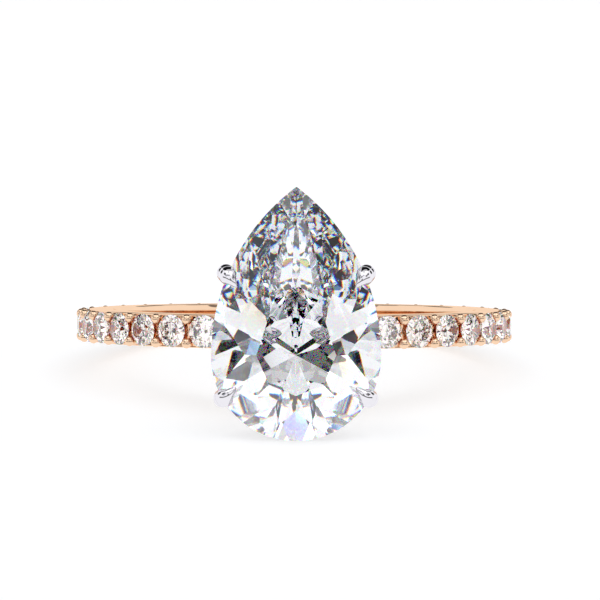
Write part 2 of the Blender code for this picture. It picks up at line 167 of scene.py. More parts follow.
# Studio.
WORLD_TONE = (1.15, 1.16, 1.18)
CARD_TONE = (0.01, 0.01, 0.012)
CARD_EDGE = 1.5
FLOOR_HALF = 2.0
FLOOR_GLOW = 0.64
FLOOR_LIGHT = (0.455, 0.46, 0.47)
FLOOR_DARK = (0.445, 0.45, 0.46)

# Dark line along the front horizon, as the lowest and highest Z of a direction.
STONE_LINE = (-0.06, 0.06)
METAL_LINE = (-0.17, 0.02)
LINE_EDGE = 0.015

# Dark cards that show through the stones, as (azimuth, elevation, radius) in degrees.
STONE_CARDS = (
    (180, 54, 36),
    (-20, 24, 8),
    (22, 26, 7),
    (0, 42, 7),
    (-46, 38, 12),
    (50, 40, 11),
    (-82, 27, 13),
    (86, 30, 13),
    (0, 78, 9),
    (-25, 62, 8),
    (28, 60, 8),
    (-18, -18, 7),
    (18, -18, 7),
    (-48, -28, 9),
    (46, -26, 9),
    (0, -44, 6),
    (-30, -52, 8),
    (-80, -35, 9),
    (80, -35, 8),
    (0, -75, 9),
    (0, 10, 8),
)

# Dark cards that mirror in the metal and on the stones' faces.
METAL_CARDS = (
    (180, 54, 36),
    (0, 10, 8),
    (-125, 22, 12),
    (125, 22, 12),
    (-72, 36, 11),
    (76, 35, 10),
    (0, 78, 9),
    (-24, 40, 8),
)

# Grey cards among those, as (azimuth, elevation, radius, tone).
GREY_CARDS = (
    (50, 27, 12, (0.28, 0.27, 0.28)),
    (-50, 27, 11, (0.42, 0.44, 0.48)),
    (0, 50, 10, (0.35, 0.36, 0.40)),
)

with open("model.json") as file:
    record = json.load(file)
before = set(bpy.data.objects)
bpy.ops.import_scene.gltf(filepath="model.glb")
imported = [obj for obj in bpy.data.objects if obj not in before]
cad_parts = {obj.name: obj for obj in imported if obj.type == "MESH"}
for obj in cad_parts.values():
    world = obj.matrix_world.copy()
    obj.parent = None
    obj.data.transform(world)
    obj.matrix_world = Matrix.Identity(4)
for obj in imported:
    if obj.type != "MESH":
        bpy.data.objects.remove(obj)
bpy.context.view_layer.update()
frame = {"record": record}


# ---- Frames --------------------------------------------------------------------------


def ring_matrix():
    """The ring's own axes in the row frame, read from the finger-hole mount."""
    mount = next(m for m in frame["record"]["mounts"] if m["name"] == "finger_hole")
    axis = Vector(mount["axis"]).normalized()
    right = Vector((1, 0, 0))
    away = axis.cross(right).normalized()
    turn = Matrix((right, away, axis)).transposed().to_4x4()
    return Matrix.Translation(Vector(mount["pos_m"])) @ turn


RING = ring_matrix()
HEAD = (
    RING
    @ Matrix.Translation((0, -PEAR_GIRDLE_REACH, -PEAR_WIDEST_DROP))
    @ Matrix.Rotation(math.pi / 2, 4, "X")
)


def radial_place(angle, radius):
    outward = Vector((math.sin(angle), -math.cos(angle), 0))
    axis = Vector((0, 0, 1))
    turn = Matrix((axis.cross(outward), axis, outward)).transposed().to_4x4()
    return Matrix.Translation(outward * radius) @ turn


# ---- Node helpers --------------------------------------------------------------------


class Nodes:
    """Short calls for building a node tree."""

    def __init__(self, tree):
        self.tree = tree
        tree.nodes.clear()

    def add(self, kind, **settings):
        node = self.tree.nodes.new(kind)
        for key, value in settings.items():
            setattr(node, key, value)
        return node

    def link(self, source, target):
        self.tree.links.new(source, target)

    def noise(self, vector, scale, detail=3.0, rough=0.55):
        node = self.add("ShaderNodeTexNoise")
        node.inputs["Scale"].default_value = scale
        node.inputs["Detail"].default_value = detail
        node.inputs["Roughness"].default_value = rough
        self.link(vector, node.inputs["Vector"])
        return node.outputs["Fac"]

    def ramp(self, value, low, high, to_low, to_high):
        node = self.add("ShaderNodeMapRange", interpolation_type="SMOOTHSTEP", clamp=True)
        node.inputs["From Min"].default_value = low
        node.inputs["From Max"].default_value = high
        node.inputs["To Min"].default_value = to_low
        node.inputs["To Max"].default_value = to_high
        self.link(value, node.inputs["Value"])
        return node.outputs["Result"]

    def math(self, operation, first, second):
        node = self.add("ShaderNodeMath", operation=operation)
        for socket, value in zip(node.inputs, (first, second)):
            if isinstance(value, (int, float)):
                socket.default_value = value
            else:
                self.link(value, socket)
        return node.outputs[0]

    def mix_colour(self, factor, first, second):
        node = self.add("ShaderNodeMix", data_type="RGBA")
        for index, value in ((0, factor), (6, first), (7, second)):
            socket = node.inputs[index]
            if isinstance(value, (int, float)):
                socket.default_value = value
            elif isinstance(value, tuple):
                socket.default_value = (*value, 1.0)
            else:
                self.link(value, socket)
        return node.outputs[2]

    def mix_shader(self, factor, first, second):
        node = self.add("ShaderNodeMixShader")
        if isinstance(factor, (int, float)):
            node.inputs[0].default_value = factor
        else:
            self.link(factor, node.inputs[0])
        self.link(first, node.inputs[1])
        self.link(second, node.inputs[2])
        return node.outputs[0]


def millimetres(nodes, stretch=(1.0, 1.0, 1.0)):
    """Object coordinates in millimetres."""
    place = nodes.add("ShaderNodeTexCoord")
    mapping = nodes.add("ShaderNodeMapping")
    mapping.inputs["Scale"].default_value = tuple(s / MM for s in stretch)
    nodes.link(place.outputs["Object"], mapping.inputs["Vector"])
    return mapping.outputs["Vector"]


# ---- Materials -----------------------------------------------------------------------


def polished_metal(name, colour, painted_shade_tint, roughness, scratch):
    """Polished gold: the tone drifts, the colour is darkened with painted shade in the setting's hollows,
    and it carries fine polishing lines.
    """
    material = bpy.data.materials.new(name)
    material.use_nodes = True
    nodes = Nodes(material.node_tree)
    out = nodes.add("ShaderNodeOutputMaterial")
    shader = nodes.add("ShaderNodeBsdfAnisotropic")
    shader.distribution = "MULTI_GGX"
    nodes.link(shader.outputs[0], out.inputs["Surface"])
    place = millimetres(nodes)
    cloud = nodes.noise(place, 0.9, 4.0)
    tone = nodes.ramp(cloud, 0.35, 0.65, 0.0, 1.0)
    warm = nodes.mix_colour(tone, colour, tuple(c * TONE_DRIFT for c in colour))
    # Painted shade: where ambient occlusion finds nearby metal, the colour turns to the deep tint, standing
    # in for the dim light in the setting's hollows.
    shade_occlusion = nodes.add("ShaderNodeAmbientOcclusion", samples=6)
    shade_occlusion.inputs["Distance"].default_value = PAINTED_SHADE_REACH
    depth = nodes.ramp(shade_occlusion.outputs["AO"], 0.30, 0.80, 1.0, 0.0)
    painted_shade_colour = nodes.mix_colour(depth, warm, painted_shade_tint)
    nodes.link(painted_shade_colour, shader.inputs["Color"])
    smear = nodes.noise(place, 2.2, 5.0, 0.6)
    rough = nodes.ramp(smear, 0.35, 0.72, roughness * 0.5, roughness * 1.7)
    nodes.link(rough, shader.inputs["Roughness"])
    lines = nodes.noise(millimetres(nodes, (3.0, 26.0, 9.0)), 1.0, 3.0, 0.7)
    dents = nodes.noise(place, 5.0, 2.0)
    height = nodes.math("ADD", nodes.math("MULTIPLY", lines, 0.35), dents)
    bump = nodes.add("ShaderNodeBump")
    bump.inputs["Strength"].default_value = scratch
    bump.inputs["Distance"].default_value = POLISH_DEPTH
    nodes.link(height, bump.inputs["Height"])
    nodes.link(bump.outputs["Normal"], shader.inputs["Normal"])
    return material


def cut_diamond(name, spread, fire, tint):
    """Clear stone. White light is split into three at the first surface, as dispersion does."""
    material = bpy.data.materials.new(name)
    material.use_nodes = True
    nodes = Nodes(material.node_tree)
    out = nodes.add("ShaderNodeOutputMaterial")
    place = millimetres(nodes)
    veil = nodes.ramp(nodes.noise(place, 1.6, 3.0), 0.3, 0.7, 0.0, 1.0)
    body = nodes.mix_colour(veil, (1.0, 1.0, 1.0), tint)

    def glass(ior, colour):
        node = nodes.add("ShaderNodeBsdfGlass")
        node.distribution = "MULTI_GGX"
        node.inputs["IOR"].default_value = ior
        node.inputs["Roughness"].default_value = 0.0
        if colour is None:
            nodes.link(body, node.inputs["Color"])
        else:
            node.inputs["Color"].default_value = (*colour, 1.0)
        return node.outputs[0]

    red = glass(DIAMOND_INDEX - spread, (3.0, 0.0, 0.0))
    green = glass(DIAMOND_INDEX, (0.0, 3.0, 0.0))
    blue = glass(DIAMOND_INDEX + spread * 1.2, (0.0, 0.0, 3.0))
    split = nodes.mix_shader(1 / 3, nodes.mix_shader(0.5, red, green), blue)
    clear = glass(DIAMOND_INDEX, None)
    path = nodes.add("ShaderNodeLightPath")
    first = nodes.math("LESS_THAN", path.outputs["Ray Depth"], 0.5)
    share = nodes.math("MULTIPLY", first, fire)
    nodes.link(nodes.mix_shader(share, clear, split), out.inputs["Surface"])
    return material


# The second colour of each metal is the painted shade tint for its hollows.
ROSE = polished_metal("rose_gold_polished", (0.835, 0.585, 0.405), (0.60, 0.16, 0.035), 0.014, 0.2)
WHITE = polished_metal("white_gold_polished", (0.760, 0.740, 0.775), (0.42, 0.40, 0.43), 0.012, 0.15)
PEAR_STONE = cut_diamond("pear_diamond_cut", 0.034, 0.75, (0.985, 0.99, 1.0))
MELEE_STONE = cut_diamond("melee_diamond_cut", 0.012, 0.15, (1.0, 0.975, 0.955))


# ---- Mesh helpers --------------------------------------------------------------------


def mesh_of(name, points, faces, material, smooth_angle=None):
    mesh = bpy.data.meshes.new(name)
    mesh.from_pydata([tuple(p) for p in points], [], faces)
    shell = bmesh.new()
    shell.from_mesh(mesh)
    bmesh.ops.recalc_face_normals(shell, faces=shell.faces)
    shell.to_mesh(mesh)
    shell.free()
    mesh.materials.append(material)
    if smooth_angle is not None:
        for polygon in mesh.polygons:
            polygon.use_smooth = True
        mesh.set_sharp_from_angle(angle=math.radians(smooth_angle))
    return mesh


def add_piece(name, mesh, place, slot, *nodes):
    """A finished piece that rides on the one body and stands for its CAD nodes."""
    mesh.transform(place)
    obj = bpy.data.objects.new(name, mesh)
    bpy.context.scene.collection.objects.link(obj)
    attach(obj, "root")
    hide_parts(*nodes)
    return obj


def ring_of_faces(rings, closed_path):
    faces = []
    count = len(rings)
    for i in range(count if closed_path else count - 1):
        here = rings[i]
        there = rings[(i + 1) % count]
        for j in range(len(here)):
            k = (j + 1) % len(here)
            faces.append((here[j], here[k], there[k], there[j]))
    if not closed_path:
        faces.append(tuple(reversed(rings[0])))
        faces.append(tuple(rings[-1]))
    return faces


def tube(stations, sides, closed_path=False):
    """A round bar through stations of (centre, radius)."""
    centres = [Vector(centre) for centre, _ in stations]
    points = []
    rings = []
    count = len(stations)
    side = None
    for i, (_, radius) in enumerate(stations):
        before = centres[(i - 1) % count] if closed_path or i > 0 else centres[i]
        after = centres[(i + 1) % count] if closed_path or i < count - 1 else centres[i]
        along = (after - before).normalized()
        if side is None:
            guide = Vector((0, 0, 1)) if abs(along.z) < 0.9 else Vector((1, 0, 0))
            side = along.cross(guide).normalized()
        side = (side - along * side.dot(along)).normalized()
        other = along.cross(side)
        ring = []
        for j in range(sides):
            turn = 2 * math.pi * j / sides
            ring.append(len(points))
            points.append(centres[i] + radius * (math.cos(turn) * side + math.sin(turn) * other))
        rings.append(ring)
    return points, ring_of_faces(rings, closed_path)


def merged(solids):
    points = []
    faces = []
    for solid_points, solid_faces in solids:
        start = len(points)
        points.extend(solid_points)
        faces.extend([tuple(start + i for i in face) for face in solid_faces])
    return points, faces


def smooth_path(knots, steps):
    """Catmull-Rom curve through (centre, radius) knots."""
    values = [(*Vector(centre), radius) for centre, radius in knots]
    values = [values[0]] + values + [values[-1]]
    out = []
    for i in range(1, len(values) - 2):
        for step in range(steps):
            t = step / steps
            row = []
            for a, b, c, d in zip(*values[i - 1 : i + 3]):
                bend = 2 * a - 5 * b + 4 * c - d
                twist = 3 * b - a - 3 * c + d
                row.append(0.5 * (2 * b + (c - a) * t + bend * t * t + twist * t**3))
            out.append((Vector(row[:3]), row[3]))
    out.append((Vector(values[-1][:3]), values[-1][3]))
    return out


def smoothstep(low, high, value):
    t = min(max((value - low) / (high - low), 0.0), 1.0)
    return t * t * (3 - 2 * t)


# ---- Band ----------------------------------------------------------------------------


def has_stone(position):
    return 1 <= position % STONE_POSITIONS <= STONE_POSITIONS - 2


def seat_height(angle, width):
    """Radius of the drilled seats' cones at a place on the band, or infinity."""
    nearest = math.floor(angle / PITCH)
    best = math.inf
    slope = MELEE_PAVILION / MELEE_RADIUS
    lean = math.atan(slope)
    apex = MELEE_GIRDLE_RADIUS - MELEE_GIRDLE_THICKNESS / 2 - MELEE_PAVILION
    apex -= SEAT_CLEARANCE / math.cos(lean)
    for position in (nearest - 1, nearest, nearest + 1):
        if not has_stone(position):
            continue
        across = (angle - (position + 0.5) * PITCH) * MELEE_GIRDLE_RADIUS
        away = math.hypot(across, width)
        best = min(best, apex + away * slope)
    return best


def band_top(angle, width):
    """Height of the outside of the band: the rail, a saddle between each pair of posts, and the seats."""
    line = round(angle / PITCH)
    across = abs(angle - line * PITCH) * MELEE_GIRDLE_RADIUS
    lift = 0.0
    if line % STONE_POSITIONS:
        lift = 1 - smoothstep(SADDLE_NEAR, SADDLE_FAR, across)
        lift *= 1 - smoothstep(WALL_HALF_WIDTH, WALL_HALF_WIDTH + WALL_FADE, abs(width))
    wall = RAIL_RADIUS + (WALL_RADIUS - RAIL_RADIUS) * lift
    return min(wall, seat_height(angle, width))


def inner_radius(width):
    """The finger side is flat in the middle and rolls off towards both edges."""
    return FINGER_RADIUS + INNER_ROLL * abs(width / RAIL_HALF_WIDTH) ** INNER_ROLL_POWER


def band_column(angle):
    """The closed section of the band at an angle, as (radius, width)."""
    half = RAIL_HALF_WIDTH
    ease = FINGER_EDGE_EASE
    corner = inner_radius(half - ease)
    section = []
    for i in range(17):
        width = (half - ease) * (i / 8 - 1)
        section.append((inner_radius(width), width))
    for i in range(1, 5):
        turn = math.pi / 2 * i / 4
        section.append((corner + ease * (1 - math.cos(turn)), half - ease * (1 - math.sin(turn))))
    section.append((corner + 1.5 * ease, half))
    edge = RAIL_EDGE_EASE
    top = RAIL_RADIUS
    section.append((top - 3 * edge, half))
    for i in range(4):
        turn = math.pi / 2 * i / 3
        section.append((top - edge * (1 - math.sin(turn)), half - edge * (1 - math.cos(turn))))
    rows = TOP_ROWS
    for i in range(1, rows):
        width = (half - edge) * (1 - 2 * i / rows)
        section.append((band_top(angle, width), width))
    for i in range(4):
        turn = math.pi / 2 * (1 - i / 3)
        section.append((top - edge * (1 - math.sin(turn)), -half + edge * (1 - math.cos(turn))))
    section.append((top - 3 * edge, -half))
    section.append((corner + 1.5 * ease, -half))
    for i in range(4):
        turn = math.pi / 2 * (1 - i / 4)
        section.append((corner + ease * (1 - math.cos(turn)), -half + ease * (1 - math.sin(turn))))
    return section


def band_shell():
    columns = STONE_POSITIONS * COLUMNS_PER_STONE
    points = []
    rings = []
    for i in range(columns):
        angle = 2 * math.pi * i / columns
        ring = []
        for radius, width in band_column(angle):
            ring.append(len(points))
            points.append((radius * math.sin(angle), -radius * math.cos(angle), width))
        rings.append(ring)
    return points, ring_of_faces(rings, closed_path=True)


def bead_post(angle, width):
    """A round post with a raised, polished bead that holds the two stones beside it."""
    place = radial_place(angle, 0)
    neck = POST_RADIUS * math.cos(POST_NECK_TURN)
    dome = POST_TOP - POST_SHOULDER
    levels = [(POST_FOOT, neck)]
    for i in range(POST_LEVELS):
        turn = -POST_NECK_TURN + (math.pi / 2 + POST_NECK_TURN) * i / POST_LEVELS
        levels.append((POST_SHOULDER + dome * math.sin(turn), POST_RADIUS * math.cos(turn)))
    points = []
    rings = []
    for height, radius in levels:
        ring = []
        for j in range(POST_SIDES):
            turn = 2 * math.pi * j / POST_SIDES
            ring.append(len(points))
            offset = Vector((radius * math.cos(turn), width + radius * math.sin(turn), height))
            points.append(place @ offset)
        rings.append(ring)
    faces = ring_of_faces(rings, closed_path=False)
    faces.pop()
    crown = len(points)
    points.append(place @ Vector((0, width, POST_TOP)))
    last = rings[-1]
    for j in range(POST_SIDES):
        faces.append((last[j], last[(j + 1) % POST_SIDES], crown))
    return points, faces


def build_shank():
    solids = [band_shell()]
    for i in range(1, STONE_POSITIONS):
        for width in (POST_OFFSET, -POST_OFFSET):
            solids.append(bead_post(i * PITCH, width))
    mesh = mesh_of("shank_detail", *merged(solids), ROSE, smooth_angle=35)
    add_piece("shank_detail", mesh, RING, "rose_gold", "shank")


# ---- Faceted stones ------------------------------------------------------------------


def clip(faces, normal, reach):
    """The part of a convex solid on the inner side of a plane, as lists of corner points."""
    kept = []
    rim = []
    for face in faces:
        side = [corner.dot(normal) - reach for corner in face]
        new = []
        for i, corner in enumerate(face):
            j = (i + 1) % len(face)
            if side[i] <= 0:
                new.append(corner)
            if (side[i] < 0 < side[j]) or (side[j] < 0 < side[i]):
                cut = corner.lerp(face[j], side[i] / (side[i] - side[j]))
                new.append(cut)
                rim.append(cut)
        if len(new) > 2:
            kept.append(new)
    if rim:
        middle = sum(rim, Vector()) / len(rim)
        across = (rim[0] - middle).normalized()
        up = normal.cross(across)
        rim.sort(key=lambda p: math.atan2((p - middle).dot(up), (p - middle).dot(across)))
        kept.append(rim)
    return kept


def joined_corners(faces, grid):
    points = []
    numbers = {}
    numbered = []
    for face in faces:
        loop = []
        for corner in face:
            key = tuple(round(value / grid) for value in corner)
            if key not in numbers:
                numbers[key] = len(points)
                points.append(corner)
            if not loop or loop[-1] != numbers[key]:
                loop.append(numbers[key])
        if loop[0] == loop[-1]:
            loop.pop()
        if len(loop) > 2:
            numbered.append(tuple(loop))
    return points, numbered


def prism(outline, bottom, top):
    lower = [p + Vector((0, 0, bottom)) for p in outline]
    upper = [p + Vector((0, 0, top)) for p in outline]
    faces = [list(upper), list(reversed(lower))]
    for i in range(len(outline)):
        j = (i + 1) % len(outline)
        faces.append([lower[i], lower[j], upper[j], upper[i]])
    return faces


def round_facet(turn, rise, reach, height):
    """A facet of the round cut that passes through a point at this reach and height."""
    sign = 1 if height > 0 else -1
    normal = Vector((rise * math.cos(turn), rise * math.sin(turn), sign)).normalized()
    rim = Vector((reach * math.cos(turn), reach * math.sin(turn), height))
    return normal, rim.dot(normal)


def round_brilliant():
    """57 facets, table towards +Z, about the middle of the girdle."""
    top = MELEE_GIRDLE_THICKNESS / 2
    sides = 64
    turns = [2 * math.pi * i / sides for i in range(sides)]
    outline = [Vector((MELEE_RADIUS * math.cos(turn), MELEE_RADIUS * math.sin(turn), 0)) for turn in turns]
    faces = prism(outline, -top - 1.2 * MELEE_PAVILION, top + 1.5 * MELEE_CROWN)
    planes = [(Vector((0, 0, 1)), top + MELEE_CROWN)]
    table = MELEE_TABLE_SHARE * MELEE_RADIUS
    main = MELEE_CROWN / (MELEE_RADIUS - table)
    for j in range(8):
        turn = 2 * math.pi * j / 8
        planes.append(round_facet(turn, main, MELEE_RADIUS, top))
        half = turn + math.pi / 8
        planes.append(round_facet(half, main * MELEE_STAR, table * 1.02, top + MELEE_CROWN))
    for j in range(16):
        turn = 2 * math.pi * (j + 0.5) / 16
        planes.append(round_facet(turn, main * MELEE_UPPER_HALF, MELEE_RADIUS * 0.99, top))
    depth = MELEE_PAVILION / MELEE_RADIUS
    for j in range(8):
        planes.append(round_facet(2 * math.pi * j / 8, depth, MELEE_RADIUS, -top))
    for j in range(16):
        turn = 2 * math.pi * (j + 0.5) / 16
        planes.append(round_facet(turn, depth * MELEE_LOWER_HALF, MELEE_RADIUS, -top))
    for normal, reach in planes:
        faces = clip(faces, normal, reach)
    return joined_corners(faces, 0.0005 * MM)


def build_melee():
    mesh = mesh_of("round_brilliant", *round_brilliant(), MELEE_STONE)
    number = 0
    for position in range(STONE_POSITIONS):
        if has_stone(position):
            number += 1
            place = RING @ radial_place((position + 0.5) * PITCH, MELEE_GIRDLE_RADIUS)
            place = place @ Matrix.Rotation(MELEE_TURN * number, 4, "Z")
            name = f"melee_{number:02d}"
            add_piece(f"{name}_cut", mesh.copy(), place, "melee_diamond", name)


# ---- Pear centre stone ---------------------------------------------------------------


def pear_point(normal_angle, share=1.0, offset=0.0):
    """The outline point whose outward normal has this angle, scaled and then pushed outwards."""
    x = math.cos(normal_angle)
    y = math.sin(normal_angle)
    if y <= 0:
        base = (PEAR_HALF_WIDTH * x, PEAR_HALF_WIDTH * y)
    elif y < math.sin(TIP_NORMAL):
        base = (math.copysign(WING_ARC * abs(x) - WING_CENTRE, x), WING_ARC * y)
    else:
        base = (0.0, PEAR_TIP)
    return Vector((share * base[0] + offset * x, share * base[1] + offset * y, 0))


def support(angle):
    point = pear_point(angle)
    return point.x * math.cos(angle) + point.y * math.sin(angle)


def outline_angles(head_sides, wing_sides):
    angles = [-math.pi + math.pi * i / head_sides for i in range(head_sides + 1)]
    wing = [TIP_NORMAL * i / wing_sides for i in range(1, wing_sides)]
    angles += wing
    angles.append(math.pi / 2)
    angles += [math.pi - a for a in reversed(wing)]
    return angles


def facet_angles(share):
    mains = [math.radians(degrees) for degrees in PEAR_MAIN_DIRECTIONS]
    return [a + share * (b - a) for a, b in zip(mains[:-1], mains[1:])]


def crown_facet(angle, facet, grow):
    slope, reach_share = facet
    out = support(angle)
    run = out * (1 - PEAR_TABLE_SHARE)
    widest = PEAR_HALF_WIDTH * (1 - PEAR_TABLE_SHARE)
    tilt = slope * widest / run
    normal = Vector((tilt * math.cos(angle), tilt * math.sin(angle), 1)).normalized()
    rim = Vector((out * reach_share * math.cos(angle), out * reach_share * math.sin(angle), HALF_GIRDLE))
    if reach_share < 0.95:
        rim.z += (1 - reach_share) * out * tilt * STAR_LIFT
    return normal, rim.dot(normal) + grow


def pavilion_facet(angle, steepness, grow):
    out = support(angle)
    tilt = steepness * PEAR_PAVILION / out
    normal = Vector((tilt * math.cos(angle), tilt * math.sin(angle), -1)).normalized()
    rim = Vector((out * math.cos(angle), out * math.sin(angle), -HALF_GIRDLE))
    return normal, rim.dot(normal) + grow


def pear_planes(grow):
    planes = [(Vector((0, 0, 1)), HALF_GIRDLE + PEAR_CROWN + grow)]
    for angle in facet_angles(0.0):
        planes.append(crown_facet(angle, CROWN_MAIN, grow))
    for angle in facet_angles(0.5):
        planes.append(crown_facet(angle, CROWN_STAR, grow))
    for share in (0.25, 0.75):
        for angle in facet_angles(share):
            planes.append(crown_facet(angle, CROWN_HALF, grow))
    for degrees, steepness in PAVILION_FACETS:
        for side in (degrees, 180 - degrees):
            planes.append(pavilion_facet(math.radians(side), steepness, grow))
    return planes


def pear_solid(grow=0.0, head_sides=48, wing_sides=28):
    top = HALF_GIRDLE + 2 * PEAR_CROWN
    bottom = -HALF_GIRDLE - 1.5 * PEAR_PAVILION
    outline = [pear_point(angle, offset=grow) for angle in outline_angles(head_sides, wing_sides)]
    faces = prism(outline, bottom, top)
    for normal, reach in pear_planes(grow):
        faces = clip(faces, normal, reach)
    return joined_corners(faces, 0.001 * MM)


def build_pear():
    mesh = mesh_of("pear_cut", *pear_solid(), PEAR_STONE)
    add_piece("pear_cut", mesh, HEAD, "diamond", "pear_diamond")


# ---- Head ----------------------------------------------------------------------------


def base_rail_point(turn):
    return Vector(
        (
            BASE_RAIL_HALF_X * math.cos(turn),
            BASE_RAIL_CENTRE_Y + BASE_RAIL_HALF_Y * math.sin(turn),
            BASE_RAIL_HEIGHT,
        )
    )


def gallery_stations(wire):
    share = FACET_CORNER_SWELL * (PEAR_PAVILION + HALF_GIRDLE + GALLERY_HEIGHT) / PEAR_PAVILION
    out = GALLERY_CLEARANCE + 1.2 * GALLERY_WIRE
    stations = []
    for angle in outline_angles(40, 18):
        if math.isclose(angle, math.pi / 2):
            for i in range(13):
                point = pear_point(angle * (0.62 + 0.76 * i / 12), share, out)
                stations.append((point + Vector((0, 0, GALLERY_HEIGHT)), wire))
        else:
            point = pear_point(angle, share, out)
            stations.append((point + Vector((0, 0, GALLERY_HEIGHT)), wire))
    return stations


def build_rails():
    steps = 96
    stations = [(base_rail_point(2 * math.pi * i / steps), BASE_RAIL_WIRE) for i in range(steps)]
    mesh = mesh_of("base_rail_round", *tube(stations, 24, closed_path=True), WHITE, smooth_angle=60)
    add_piece("base_rail_round", mesh, HEAD, "white_gold", "base_rail")
    wire = tube(gallery_stations(GALLERY_WIRE), 24, closed_path=True)
    mesh = mesh_of("gallery_rail_round", *wire, WHITE, smooth_angle=60)
    add_piece("gallery_rail_round", mesh, HEAD, "white_gold", "gallery_rail")


def claw_knots(centre, tip, mirror, foot_turn):
    """A wire that stands on the base rail, passes the girdle and folds over the crown to a point."""
    middle = Vector((mirror * centre[0], centre[1], 0))
    end = Vector((mirror * tip[0], tip[1], 0))
    inward = (end - middle).normalized()
    reach = (end - middle).length
    foot = base_rail_point(foot_turn)
    foot.z = BASE_RAIL_HEIGHT + BASE_RAIL_WIRE + PIECE_GAP
    up = Vector((0, 0, 1))
    shoulder = middle + up * CLAW_SHOULDER + inward * CLAW_SHOULDER_OUT
    knots = [
        (foot, WIRE_FOOT_RADIUS),
        (foot.lerp(shoulder, 0.5), 0.5 * (WIRE_FOOT_RADIUS + CLAW_RADIUS)),
        (shoulder, CLAW_RADIUS * 0.96),
    ]
    for inwards, rise, share in CLAW_BEND:
        knots.append((middle + inward * inwards + up * rise, CLAW_RADIUS * share))
    knots.append((middle + inward * (reach + 0.02 * MM) + up * CLAW_TIP_HEIGHT, CLAW_RADIUS * 0.20))
    knots.append((middle + inward * (reach + 0.11 * MM) + up * 0.40 * MM, CLAW_RADIUS * 0.04))
    return knots


def cut_by(obj, cutters):
    """Booleans the cutters out of a piece and keeps the result as its mesh."""
    for cutter in cutters:
        modifier = obj.modifiers.new("cut", "BOOLEAN")
        modifier.operation = "DIFFERENCE"
        modifier.solver = "FAST"
        modifier.object = cutter
    bpy.context.view_layer.update()
    graph = bpy.context.evaluated_depsgraph_get()
    mesh = bpy.data.meshes.new_from_object(obj.evaluated_get(graph))
    obj.modifiers.clear()
    mesh.validate()
    obj.data = mesh
    for polygon in mesh.polygons:
        polygon.use_smooth = True
    mesh.set_sharp_from_angle(angle=math.radians(40))


def build_claws():
    cutters = []
    rail = tube(gallery_stations(GALLERY_WIRE + PIECE_GAP), 24, closed_path=True)
    for name, solid in (("stone_seat", pear_solid(PIECE_GAP)), ("rail_seat", rail)):
        mesh = mesh_of(name, *solid, WHITE)
        mesh.transform(HEAD)
        cutter = bpy.data.objects.new(name, mesh)
        bpy.context.scene.collection.objects.link(cutter)
        cutters.append(cutter)
    claws = (
        ("upper_left", CLAW_UPPER, CLAW_UPPER_TIP, -1, math.pi - FOOT_ANGLE),
        ("upper_right", CLAW_UPPER, CLAW_UPPER_TIP, 1, FOOT_ANGLE),
        ("lower_left", CLAW_LOWER, CLAW_LOWER_TIP, -1, math.pi + FOOT_ANGLE),
        ("lower_right", CLAW_LOWER, CLAW_LOWER_TIP, 1, -FOOT_ANGLE),
    )
    for name, centre, tip, mirror, foot_turn in claws:
        stations = smooth_path(claw_knots(centre, tip, mirror, foot_turn), 8)
        mesh = mesh_of(f"claw_{name}", *tube(stations, 32), WHITE, smooth_angle=40)
        obj = add_piece(f"claw_{name}", mesh, HEAD, "white_gold", f"prong_{name}")
        cut_by(obj, cutters)
    for cutter in cutters:
        bpy.data.objects.remove(cutter, do_unlink=True)


def build_bridge():
    """A saddle between the outside of the band and the base rail, with rounded edges."""
    top = PEAR_GIRDLE_REACH + BASE_RAIL_HEIGHT - BASE_RAIL_WIRE - PIECE_GAP
    points = []
    rings = []
    for i in range(BRIDGE_STEPS + 1):
        x = BRIDGE_HALF_X * (2 * i / BRIDGE_STEPS - 1)
        low = math.sqrt((RAIL_RADIUS + PIECE_GAP) ** 2 - x**2)
        end = max(0.0, abs(x) - (BRIDGE_HALF_X - BRIDGE_CORNER)) / BRIDGE_CORNER
        ease = BRIDGE_CORNER * (1 - math.sqrt(max(0.0, 1 - end**2)))
        half = BRIDGE_HALF_Z - 0.4 * ease
        turns = [math.pi / 2 * j / 5 for j in range(6)]
        corner = []
        for turn in turns:
            drop = BRIDGE_CORNER * (1 - math.sin(turn))
            corner.append((top - ease - drop, half - BRIDGE_CORNER * (1 - math.cos(turn))))
        section = [(low, -half)]
        section += [(height, -width) for height, width in corner]
        section += reversed(corner)
        section.append((low, half))
        corners = []
        for height, width in section:
            corners.append(len(points))
            points.append((x, -height, width))
        rings.append(corners)
    mesh = mesh_of("bridge_saddle", points, ring_of_faces(rings, closed_path=False), WHITE, smooth_angle=35)
    add_piece("bridge_saddle", mesh, RING, "white_gold", "head_bridge")


# ---- Studio --------------------------------------------------------------------------


def build_floor():
    """A white floor for the camera. Other rays pass through it to the lower half of the studio."""
    half = FLOOR_HALF
    points = [(-half, -half, 0), (half, -half, 0), (half, half, 0), (-half, half, 0)]
    material = bpy.data.materials.new("white_floor")
    material.use_nodes = True
    nodes = Nodes(material.node_tree)
    out = nodes.add("ShaderNodeOutputMaterial")
    shader = nodes.add("ShaderNodeBsdfDiffuse")
    glow = nodes.add("ShaderNodeEmission")
    path = nodes.add("ShaderNodeLightPath")
    glow.inputs["Strength"].default_value = FLOOR_GLOW
    both = nodes.add("ShaderNodeAddShader")
    nodes.link(shader.outputs[0], both.inputs[0])
    nodes.link(glow.outputs[0], both.inputs[1])
    clear = nodes.add("ShaderNodeBsdfTransparent")
    seen = nodes.mix_shader(path.outputs["Is Camera Ray"], clear.outputs[0], both.outputs[0])
    nodes.link(seen, out.inputs["Surface"])
    place = nodes.add("ShaderNodeTexCoord")
    tone = nodes.ramp(nodes.noise(place.outputs["Object"], 9.0), 0.3, 0.7, 0.0, 1.0)
    nodes.link(nodes.mix_colour(tone, FLOOR_LIGHT, FLOOR_DARK), shader.inputs["Color"])
    floor = bpy.data.objects.new("floor", mesh_of("floor", points, [(0, 1, 2, 3)], material))
    bpy.context.scene.collection.objects.link(floor)


